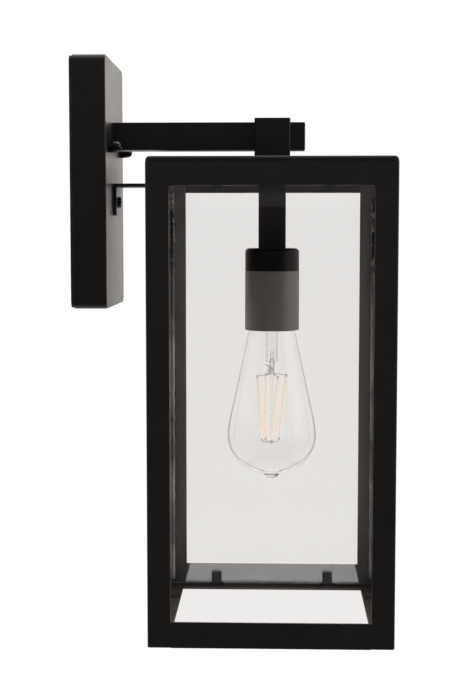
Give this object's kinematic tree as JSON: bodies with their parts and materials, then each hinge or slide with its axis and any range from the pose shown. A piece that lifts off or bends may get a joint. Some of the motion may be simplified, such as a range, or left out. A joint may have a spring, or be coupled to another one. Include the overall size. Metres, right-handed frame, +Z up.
{
  "type": "outdoor wall lantern",
  "caption": "Square clear-glass wall lantern with a black frame, open at the bottom, hung from a square arm on a rectangular canopy.",
  "frame": {"origin": "centre of the wall box slots on the wall plane, level with the two cap nuts", "axes": "+Z up, +Y into the wall, so the lantern stands out towards -Y; X along the wall"},
  "size_m": [0.1712, 0.2272, 0.4115],
  "materials": {
    "black_coat": "satin black powder coat",
    "grey_sleeve": "satin dark grey",
    "zinc_plate": "zinc plated",
    "green_zinc": "green earth screw",
    "nickel": "nickel bright",
    "brass": "brass",
    "porcelain": "glazed white",
    "black_vitrite": "gloss black",
    "pane_glass": "clear flat glass",
    "bulb_glass": "clear blown glass",
    "filament": "amber phosphor",
    "rubber": "matt black foam rubber",
    "white_plastic": "white moulded",
    "wire_black": "black insulation",
    "wire_white": "white insulation",
    "wire_green": "green insulation"
  },
  "bodies": {
    "fixture": {"arm_backing_plate": "zinc_plate", "arm_end_plug": "black_coat", "arm_set_screws": "black_coat", "arm_spigot": "zinc_plate", "arm_tube": "black_coat", "bottom_rail_front": "black_coat", "bottom_rail_left": "black_coat", "bottom_rail_rear": "black_coat", "bottom_rail_right": "black_coat", "brace_bracket": "black_coat", "brace_canopy_screw": "black_coat", "canopy": "black_coat", "cap_nuts": "black_coat", "collar": "black_coat", "earth_screw": "green_zinc", "glass_clips_lower": "black_coat", "glass_clips_upper": "black_coat", "glass_front": "pane_glass", "glass_left": "pane_glass", "glass_pads": "rubber", "glass_rear": "pane_glass", "glass_right": "pane_glass", "hollow_rod": "zinc_plate", "m10_nuts": "zinc_plate", "m3_nuts": "zinc_plate", "m3_screws": "black_coat", "m4_nuts": "zinc_plate", "mounting_plate": "zinc_plate", "mounting_studs": "zinc_plate", "post_front_left": "black_coat", "post_front_right": "black_coat", "post_rear_left": "black_coat", "post_rear_right": "black_coat", "roof_plate": "black_coat", "socket_cap": "black_coat", "socket_contact": "brass", "socket_core": "porcelain", "socket_shell": "nickel", "socket_sleeve": "grey_sleeve", "socket_terminals": "brass", "stem_tube": "black_coat", "stem_washer": "black_coat", "terminal_block": "white_plastic", "terminal_screws": "zinc_plate", "top_rail_front": "black_coat", "top_rail_left": "black_coat", "top_rail_rear": "black_coat", "top_rail_right": "black_coat", "wall_gasket": "rubber", "wire_earth": "wire_green", "wire_live": "wire_black", "wire_neutral": "wire_white"},
    "bulb": {"bulb_base_shell": "nickel", "bulb_contact": "nickel", "bulb_filaments": "filament", "bulb_glass": "bulb_glass", "bulb_insulator": "black_vitrite", "bulb_mount": "bulb_glass", "bulb_wires": "nickel"}
  },
  "joints": [
    {"name": "bulb_out", "type": "slide", "parent": "fixture", "child": "bulb", "axis": [0, 0, -1], "range_m": [0, 0.255]}
  ]
}
